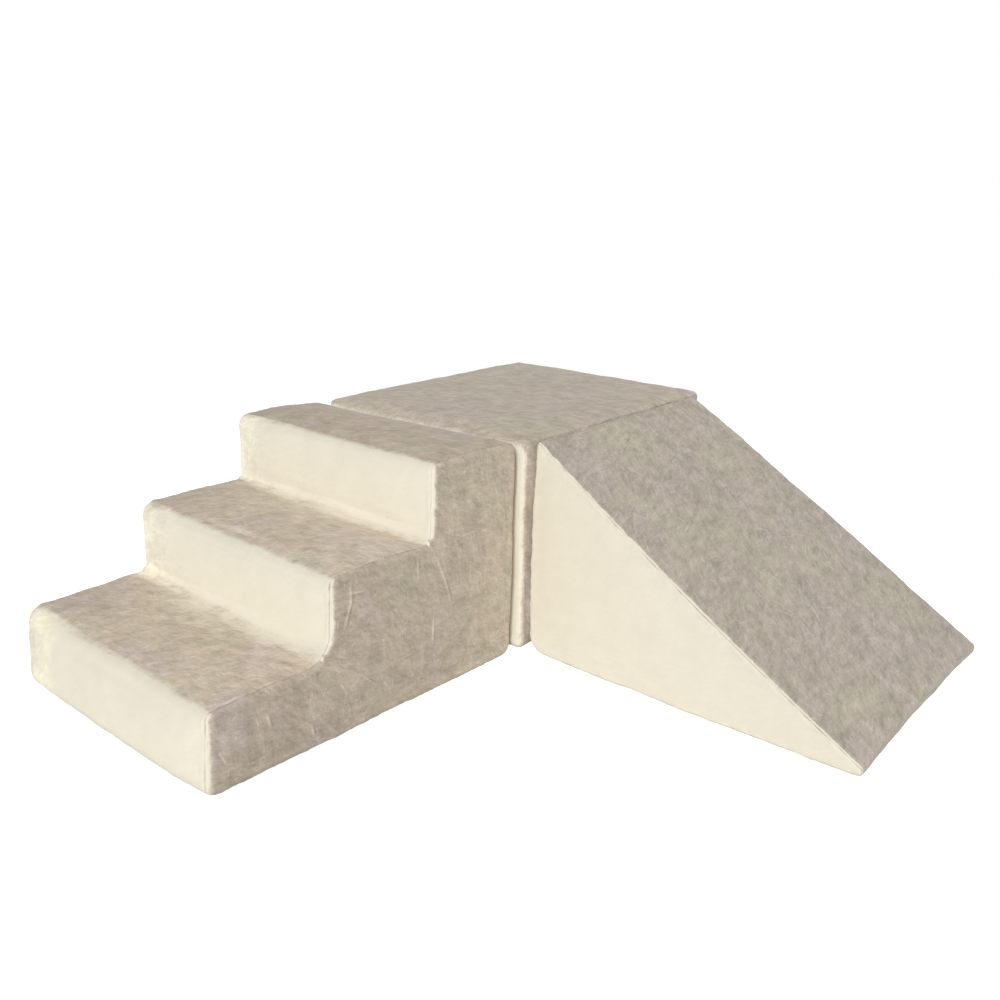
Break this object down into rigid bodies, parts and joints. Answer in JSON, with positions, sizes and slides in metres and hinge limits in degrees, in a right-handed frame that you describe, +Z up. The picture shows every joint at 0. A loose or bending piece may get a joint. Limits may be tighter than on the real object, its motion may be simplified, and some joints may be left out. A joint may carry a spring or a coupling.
{
  "type": "foam play block set",
  "caption": "Soft corner play set of loose foam blocks in zipped velvet covers: a flight of steps, a square-edged platform and a ramp, set in an L.",
  "frame": {"origin": "centre of the outer box of the whole set, on the floor that it stands on", "axes": "+X from the platform towards the toe of the ramp, +Y from the steps towards the back of the platform, +Z up"},
  "size_m": [1.3236, 1.417, 0.45],
  "materials": {
    "velvet": "brushed pile",
    "grip_cloth": "matte weave with small grip dots",
    "foam": "open-cell foam",
    "zip_tape": "woven tape",
    "zip_nylon": "satin nylon coil",
    "nickel": "nickel plate"
  },
  "bodies": {
    "platform_block": {"platform_foam_core": "foam", "platform_top_strip": "velvet", "platform_left_side_panel": "velvet", "platform_right_side_panel": "velvet", "platform_base_panel": "grip_cloth", "platform_zip_upper_tape": "zip_tape", "platform_zip_lower_tape": "zip_tape", "platform_zip_chain": "zip_nylon", "platform_zip_closed_stop": "nickel", "platform_zip_open_stop": "nickel"},
    "steps_block": {"steps_foam_core": "foam", "steps_tread_strip": "velvet", "steps_left_side_panel": "velvet", "steps_right_side_panel": "velvet", "steps_base_panel": "grip_cloth", "steps_zip_upper_tape": "zip_tape", "steps_zip_lower_tape": "zip_tape", "steps_zip_chain": "zip_nylon", "steps_zip_closed_stop": "nickel", "steps_zip_open_stop": "nickel"},
    "ramp_block": {"ramp_foam_core": "foam", "ramp_slope_strip": "velvet", "ramp_left_side_panel": "velvet", "ramp_right_side_panel": "velvet", "ramp_base_panel": "grip_cloth", "ramp_zip_upper_tape": "zip_tape", "ramp_zip_lower_tape": "zip_tape", "ramp_zip_chain": "zip_nylon", "ramp_zip_closed_stop": "nickel", "ramp_zip_open_stop": "nickel"},
    "steps_slider": {"steps_zip_slider": "nickel"},
    "platform_slider": {"platform_zip_slider": "nickel"},
    "ramp_slider": {"ramp_zip_slider": "nickel"},
    "steps_pull": {"steps_zip_pull": "nickel"},
    "platform_pull": {"platform_zip_pull": "nickel"},
    "ramp_pull": {"ramp_zip_pull": "nickel"}
  },
  "joints": [
    {"name": "steps_pull_away", "type": "slide", "parent": "platform_block", "child": "steps_block", "axis": [0, -1, 0], "range_m": [0, 0.3]},
    {"name": "ramp_pull_away", "type": "slide", "parent": "platform_block", "child": "ramp_block", "axis": [1, 0, 0], "range_m": [0, 0.3]},
    {"name": "steps_zip_run", "type": "slide", "parent": "steps_block", "child": "steps_slider", "axis": [0, -1, 0], "range_m": [0, 0.4596]},
    {"name": "platform_zip_run", "type": "slide", "parent": "platform_block", "child": "platform_slider", "axis": [0, -1, 0], "range_m": [0, 0.4606]},
    {"name": "ramp_zip_run", "type": "slide", "parent": "ramp_block", "child": "ramp_slider", "axis": [-1, 0, 0], "range_m": [0, 0.4606]},
    {"name": "steps_pull_swing", "type": "hinge", "parent": "steps_slider", "child": "steps_pull", "pos_m": [-0.66009, -0.1292, 0.045], "axis": [0, 0, -1], "range_deg": [0, 180]},
    {"name": "platform_pull_swing", "type": "hinge", "parent": "platform_slider", "child": "platform_pull", "pos_m": [-0.65509, 0.5888, 0.045], "axis": [0, 0, -1], "range_deg": [0, 180]},
    {"name": "ramp_pull_swing", "type": "hinge", "parent": "ramp_slider", "child": "ramp_pull", "pos_m": [0.4871, 0.6374, 0.045], "axis": [0, 0, -1], "range_deg": [0, 180]}
  ]
}
